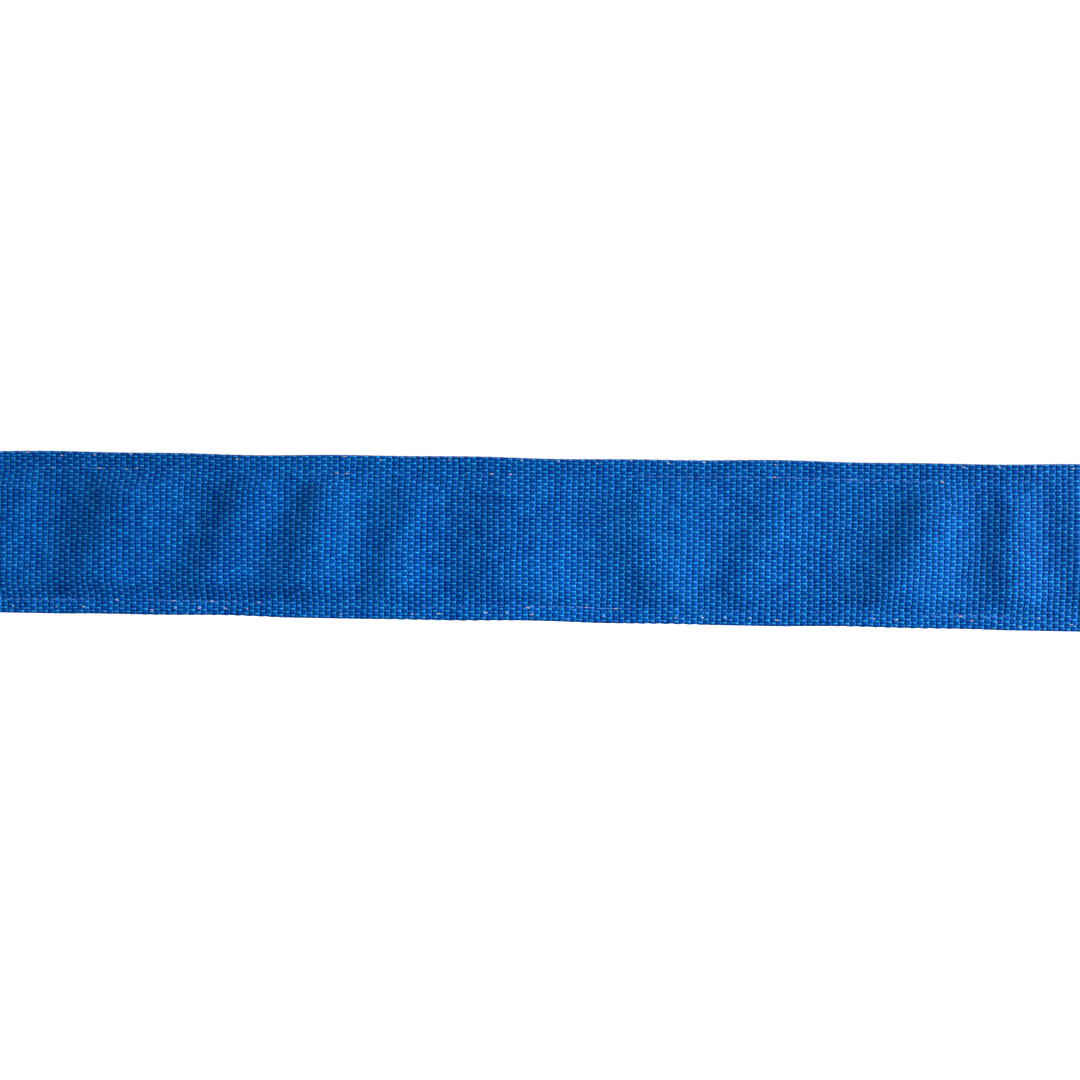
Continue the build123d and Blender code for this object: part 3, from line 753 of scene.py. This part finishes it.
def edge_flecks():
    """Pale catch threads that show along both edges, and a few loose ends at the lower seam."""
    rng = random.Random(23)
    flecks = []
    for w, pitch, chance in ((2.1 * MM, 4 * PICK, 0.5), (BELT_WIDTH - 1.0 * MM, 6 * PICK, 0.7)):
        for s in np.arange(AFTER_WRAP, TAIL_START, pitch):
            if rng.random() > chance:
                continue
            at = s + rng.uniform(-0.6, 0.6) * MM
            level = w + rng.uniform(-0.5, 0.5) * MM
            length = rng.uniform(0.6, 1.3) * MM
            pair = np.array([at, at + length])
            rise = np.array([[level], [level + rng.uniform(-0.4, 0.4) * MM]])
            out, up = sway(pair, [level])
            points = on_route(pair, outer_face(pair, [level]) + out + 0.08 * MM, rise + up)
            normal = place(pair)[1][0]
            flecks.append((points[0, 0], points[1, 0], (normal[0], normal[1], 0.0)))
    capsules("edge_flecks", flecks, 0.13 * MM, "belt", PALE_THREAD)


# ---------------------------------------------------------------- stitches in rows
def row_of_stitches(start, end, out, pitch, length, rng):
    """Stitches from start to end, two points of the level loop, on a face that looks along out."""
    start, end = Vector(start), Vector(end)
    run = end - start
    count = max(1, round(run.length / pitch))
    rows = []
    for k in range(count):
        middle = start + run * ((k + 0.5) / count) + Vector(out) * 0.12 * MM
        half = run.normalized() * length / 2 * rng.uniform(0.93, 1.05)
        rows.append((middle - half, middle + half, out))
    return rows


def build_box_stitch():
    """The boxed cross that closes the folded end, on both outside faces."""
    rng = random.Random(11)
    fold_x = place(0.0)[0][0][0]
    x0, x1 = fold_x + 4 * MM, fold_x + SEWN_LENGTH - 4 * MM
    z0, z1 = 9.5 * MM, BELT_WIDTH - 9.5 * MM
    front = REAR_Y + STRAP_BEHIND_PIN + THICK
    back = REAR_Y + STRAP_BEHIND_PIN - FOLD_GAP - THICK
    rows = []
    for y, out in ((front, (0, 1, 0)), (back, (0, -1, 0))):
        corners = [(x0, y, z0), (x1, y, z0), (x1, y, z1), (x0, y, z1)]
        runs = [(corners[i], corners[(i + 1) % 4]) for i in range(4)]
        runs += [(corners[0], corners[2]), (corners[1], corners[3])]
        for a, b in runs:
            rows += row_of_stitches(a, b, out, STITCH_PITCH, STITCH_LENGTH, rng)
    piece = capsules("box_stitch", rows, 0.27 * MM, "belt", BLUE_THREAD)
    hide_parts("anchor_box_stitch")


# ---------------------------------------------------------------- label
def build_label():
    """A blank tape sewn inside the left bend, a little slack between its two rows of stitches."""
    start = LEFT_CORNER + LABEL_START
    s = np.arange(start, start + LABEL_LENGTH + 0.1 * MM, 0.7 * MM)
    low, high = MID_WIDTH - LABEL_HEIGHT / 2, MID_WIDTH + LABEL_HEIGHT / 2
    w = np.linspace(low, high, 24)
    share = (s - s[0]) / (s[-1] - s[0])
    across = 1 + 0.3 * np.sin(w / (3.1 * MM))
    slack = 0.5 * MM * np.sin(np.pi * share)[:, None] ** 2 * across[None, :]
    far = -LABEL_CLEAR - slack
    at, outward = place(s)
    level = w[None, :] + 0.1 * MM * np.sin(share * 9)[:, None]
    rows = (s, lift(at), lift(outward), (level, np.array([0.0, 0.0, 1.0])))
    near = far - LABEL_THICK
    piece = ribbon("label", rows, w, near, far, low, high, "belt", SATIN)
    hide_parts("care_label")
    rng = random.Random(5)
    stitches = []
    for s_row in (start + 2.15 * MM, start + LABEL_LENGTH - 2.15 * MM):
        point, outward = place(s_row)
        inward = (-outward[0][0], -outward[0][1], 0.0)
        x, y = point[0] - outward[0] * (LABEL_THICK + LABEL_CLEAR)
        bottom, top = (x, y, low + 1.5 * MM), (x, y, high - 1.5 * MM)
        stitches += row_of_stitches(bottom, top, inward, 2.2 * MM, 1.8 * MM, rng)
    rows = capsules("label_stitches", stitches, 0.17 * MM, "belt", WHITE_THREAD)
    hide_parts("label_stitch")


# ---------------------------------------------------------------- keeper
def keeper_path(step=0.5 * MM):
    """The band's mid-line round both layers, as (y, z) points and outward directions: it starts
    under its own lapped end, behind the belt, and goes down, round and over itself."""
    half = KEEPER_THICK / 2
    low_y = REAR_Y + STRAP_BEHIND_PIN - THREAD - KEEPER_GAP - half
    high_y = REAR_Y + STRAP_OVER_PLATE + THICK + THREAD + KEEPER_GAP + half
    low_z, high_z = -KEEPER_GAP - half, BELT_WIDTH + KEEPER_GAP + half
    radius = 0.4 * MM + 0.6 * (KEEPER_GAP + half)
    lap = KEEPER_LAP / 2
    runs = [
        ((low_y, MID_WIDTH + lap), (low_y, low_z + radius), None),
        ((low_y + radius, low_z + radius), 180.0, radius),
        ((low_y + radius, low_z), (high_y - radius, low_z), None),
        ((high_y - radius, low_z + radius), 270.0, radius),
        ((high_y, low_z + radius), (high_y, high_z - radius), None),
        ((high_y - radius, high_z - radius), 0.0, radius),
        ((high_y - radius, high_z), (low_y + radius, high_z), None),
        ((low_y + radius, high_z - radius), 90.0, radius),
        ((low_y, high_z - radius), (low_y, MID_WIDTH - lap), None),
    ]
    points, normals = [], []
    for a, b, bend in runs:
        if bend is None:
            a, b = np.array(a), np.array(b)
            run = np.linalg.norm(b - a)
            along = (b - a) / run
            count = max(1, round(run / step))
            for k in range(count):
                points.append(a + along * run * k / count)
                normals.append((along[1], -along[0]))
        else:
            for k in range(6):
                turn = math.radians(b + 90.0 * k / 6)
                out = np.array([math.cos(turn), math.sin(turn)])
                points.append(np.array(a) + bend * out)
                normals.append(tuple(out))
    points, normals = np.array(points), np.array(normals)
    last = (points[:, 1] > MID_WIDTH - 2 * lap) & (np.arange(len(points)) > len(points) * 0.6)
    behind = points[:, 0] < REAR_Y + STRAP_BEHIND_PIN
    over = 1 - smooth(points[:, 1], MID_WIDTH + lap + 0.3 * MM, MID_WIDTH + lap + 3.5 * MM)
    rise = np.where(last & behind, over * (KEEPER_THICK + KEEPER_CLEAR), 0)
    return points + normals * rise[:, None], normals


def build_keeper():
    """The sliding band with rounded edges, a little wavy along them."""
    points, normals = keeper_path()
    s = np.concatenate([[0], np.cumsum(np.linalg.norm(np.diff(points, axis=0), axis=1))])
    edge = np.array([0, 0.06, 0.2, 0.4, 0.6]) * MM
    inside = np.linspace(1.2 * MM, KEEPER_WIDTH - 1.2 * MM, 16)
    across = np.unique(np.concatenate([edge, inside, KEEPER_WIDTH - edge]))
    origin = np.stack([np.full(len(s), KEEPER_X - KEEPER_WIDTH / 2), points[:, 0], points[:, 1]], 1)
    outward = np.stack([np.zeros(len(s)), normals[:, 0], normals[:, 1]], 1)
    at_edges = (across / KEEPER_WIDTH - 0.5) ** 2 * 4
    wave = 0.12 * MM * np.sin(s / (4.3 * MM))[:, None] * at_edges[None, :]
    rows = (s, origin, outward, (across[None, :] + wave, np.array([1.0, 0.0, 0.0])))
    half = np.full((len(s), len(across)), KEEPER_THICK / 2)
    piece = ribbon("keeper", rows, across, -half, half, 0.0, KEEPER_WIDTH,
                   "keeper", KEEPER_WEBBING)
    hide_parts("sliding_keeper")
    build_bartack()


def build_bartack():
    """Three close zigzags through the keeper's lapped ends."""
    rng = random.Random(3)
    face = REAR_Y + STRAP_BEHIND_PIN - THREAD - KEEPER_GAP - 2 * KEEPER_THICK - KEEPER_CLEAR
    half = KEEPER_WIDTH / 2 - 3 * MM
    step = 0.42 * MM
    rows = []
    for z in (MID_WIDTH - 5 * MM, MID_WIDTH, MID_WIDTH + 5 * MM):
        x = KEEPER_X - half
        side = 1
        while x < KEEPER_X + half:
            tall = rng.uniform(0.6, 0.8) * MM
            a = Vector((x, face, z - side * tall))
            b = Vector((x + step, face, z + side * tall))
            rows.append((a, b, (0, -1, 0)))
            x += step
            side = -side
    piece = capsules("bartack", rows, 0.19 * MM, "keeper", BLUE_THREAD)
    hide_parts("keeper_bartack")


# ---------------------------------------------------------------- springs
def tube(name, path, radius, body, material, sides=12):
    """A round wire along a path of points of the level loop."""
    path = [Vector(p) for p in path]
    points, faces = [], []
    side = None
    for k, p in enumerate(path):
        ahead = (path[min(k + 1, len(path) - 1)] - path[max(k - 1, 0)]).normalized()
        side = ahead.orthogonal() if side is None else side
        side = (side - ahead * side.dot(ahead)).normalized()
        other = ahead.cross(side)
        for j in range(sides):
            turn = 2 * math.pi * j / sides
            points.append(p + (side * math.cos(turn) + other * math.sin(turn)) * radius)
    for k in range(len(path) - 1):
        for j in range(sides):
            a, b = k * sides, (k + 1) * sides
            faces.append((a + j, a + (j + 1) % sides, b + (j + 1) % sides, b + j))
    last = (len(path) - 1) * sides
    faces.append(tuple(reversed(range(sides))))
    faces.append(tuple(range(last, last + sides)))
    return new_piece(name, points, faces, body, material)


def spring_path(side):
    """A torsion spring's wire: a leg under the thumb plate, two turns and a hook in the ear.
    It is drawn about the pivot with u along -X and n along +Y, and side is +1 above, -1 below."""
    hole_u, hole_n = SPRING_HOLE
    reach = math.hypot(hole_u, hole_n)
    first = math.radians(90.0 - LEVER_ANGLE)
    last = math.atan2(hole_n, hole_u) + math.acos(COIL_RADIUS / reach) - 2 * math.pi * COIL_TURNS
    rise = COIL_PITCH * (first - last) / (2 * math.pi)
    wire = []
    leg = (-math.sin(first), math.cos(first))
    start = (COIL_RADIUS * math.cos(first), COIL_RADIUS * math.sin(first))
    for k in range(12):
        far = LEG_LENGTH * (1 - k / 12)
        wire.append((start[0] + leg[0] * far, start[1] + leg[1] * far, SPRING_Z))
    steps = 72
    for k in range(steps + 1):
        part = k / steps
        a = first + (last - first) * part
        wire.append((COIL_RADIUS * math.cos(a), COIL_RADIUS * math.sin(a), SPRING_Z + rise * part))
    end_u, end_n, end_z = wire[-1]
    for part in (0.5, 0.9):
        wire.append((end_u + (hole_u - end_u) * part, end_n + (hole_n - end_n) * part, end_z))
    wire.append((hole_u, hole_n, end_z + 0.35 * MM))
    wire.append((hole_u, hole_n, EAR_OUT - 0.9 * MM))
    return [(PIVOT_X - u, REAR_Y + PIVOT_N + n, MID_WIDTH + side * z) for u, n, z in wire]


def build_springs():
    """Each spring, drawn with its leg along the lever and its hook in the ear."""
    for name, side in (("upper_spring", 1), ("lower_spring", -1)):
        piece = tube(name, spring_path(side), WIRE / 2, "belt", SPRING_STEEL)
        piece.parent = None
        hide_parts("torsion_springs")
        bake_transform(piece)


# ---------------------------------------------------------------- buckle metal
def dress_metal():
    """The buckle's own CAD shapes are right as they are, and only need nickel plate."""
    for node in ("buckle_frame", "cam_lever", "anchor_pin", "pivot_pin", "tail_tip"):
        mesh = frame["nodes"][node].data
        mesh.materials.clear()
        mesh.materials.append(NICKEL)


build_webbing()
build_seams()
edge_flecks()
build_box_stitch()
build_label()
build_keeper()
build_springs()
dress_metal()


# ---------------------------------------------------------------- stage, light, camera
def studio():
    """A white floor and room, a low key beam along the front, and softer light for the rest."""
    scene = bpy.context.scene
    scene.world = studio_world()
    scene.view_settings.view_transform = "Standard"
    floor_mesh = bpy.data.meshes.new("floor")
    half = 4.0
    corners = [(-half, -half, 0), (half, -half, 0), (half, half, 0), (-half, half, 0)]
    floor_mesh.from_pydata(corners, [], [(0, 1, 2, 3)])
    floor = bpy.data.objects.new("floor", floor_mesh)
    scene.collection.objects.link(floor)
    floor.visible_diffuse = False
    floor.visible_glossy = False
    g = Graph("floor_white")
    g.shader.inputs["Base Color"].default_value = (0.9, 0.9, 0.9, 1)
    g.shader.inputs["Roughness"].default_value = 0.9
    g.shader.inputs["Emission Color"].default_value = (1, 1, 1, 1)
    g.shader.inputs["Emission Strength"].default_value = 1.0
    floor_mesh.materials.append(g.material)
    key_beam((2.6, -0.90, 0.06), (0.22, -0.085, -0.06), 0.2, 2250.0)
    lamp("front", (-0.3, -1.6, 0.30), (0.0, -0.08, 0.03), 0.6, 9.0)
    lamp("back_key", (-3.6, 1.6, 0.9), (0.0, 0.08, 0.03), 0.9, 300.0)
    lamp("back", (0.3, 1.6, 0.7), (0.0, 0.08, 0.03), 0.8, 14.0)
    lamp("above", (0.0, 0.4, 2.0), (0.0, 0.0, 0.0), 1.0, 14.0)


def studio_world():
    """White behind everything; what the metal mirrors is a grey room with a bright ceiling."""
    world = bpy.data.worlds.new("studio")
    world.use_nodes = True
    nodes, links = world.node_tree.nodes, world.node_tree.links
    plain = nodes["Background"]
    plain.inputs[0].default_value = (1.0, 1.0, 1.0, 1)
    plain.inputs[1].default_value = 1.02
    room = nodes.new("ShaderNodeBackground")
    split = nodes.new("ShaderNodeSeparateXYZ")
    links.new(nodes.new("ShaderNodeTexCoord").outputs["Generated"], split.inputs[0])
    ramp = nodes.new("ShaderNodeMapRange")
    ramp.inputs["From Min"].default_value = -1.0
    links.new(split.outputs[2], ramp.inputs[0])
    bands = nodes.new("ShaderNodeValToRGB")
    stops = ((0.0, 0.30), (0.42, 0.55), (0.5, 0.10), (0.56, 0.30), (0.78, 0.95), (1.0, 0.6))
    for k, (at, grey) in enumerate(stops):
        stop = bands.color_ramp.elements[0] if k == 0 else bands.color_ramp.elements.new(at)
        stop.position = at
        stop.color = (grey, grey, grey, 1)
    bands.color_ramp.elements.remove(bands.color_ramp.elements[-1])
    links.new(ramp.outputs[0], bands.inputs[0])
    links.new(bands.outputs[0], room.inputs[0])
    seen = nodes.new("ShaderNodeMixShader")
    links.new(nodes.new("ShaderNodeLightPath").outputs["Is Camera Ray"], seen.inputs[0])
    links.new(room.outputs[0], seen.inputs[1])
    links.new(plain.outputs[0], seen.inputs[2])
    links.new(seen.outputs[0], nodes["World Output"].inputs["Surface"])
    world.cycles_visibility.diffuse = False
    return world


def hang(light, watts, at, aim):
    light.energy = watts
    made = bpy.data.objects.new(light.name, light)
    made.location = at
    made.rotation_euler = (Vector(aim) - Vector(at)).to_track_quat("-Z", "Y").to_euler()
    bpy.context.scene.collection.objects.link(made)


def lamp(name, at, aim, size, watts):
    light = bpy.data.lights.new(name, "AREA")
    light.shape = "DISK"
    light.size = size
    hang(light, watts, at, aim)


def key_beam(at, aim, size, watts):
    """The key light, a beam just wide enough for the flat stretch."""
    light = bpy.data.lights.new("key", "SPOT")
    light.shadow_soft_size = size
    light.spot_size = math.radians(6.5)
    light.spot_blend = 0.75
    hang(light, watts, at, aim)


def camera():
    """Square on to the front stretch, a few degrees to its right, near enough to fill the width."""
    data = bpy.data.cameras.new("camera")
    made = bpy.data.objects.new("camera", data)
    bpy.context.scene.collection.objects.link(made)
    bpy.context.scene.camera = made
    front = TO_ROW @ Vector((0.0, 0.0, MID_WIDTH))
    distance, height, seen_width = 0.52, 0.013, 0.3335
    yaw, roll = math.radians(2.8), math.radians(0.95)
    at = Vector((distance * math.sin(yaw), front.y - distance * math.cos(yaw), height))
    made.location = at
    look = (front - at).to_track_quat("-Z", "Y").to_matrix()
    made.rotation_euler = (look @ Matrix.Rotation(roll, 3, "Z")).to_euler()
    data.sensor_width = 36.0
    data.lens = 36.0 * distance / seen_width
    data.clip_start = 0.01


studio()
camera()
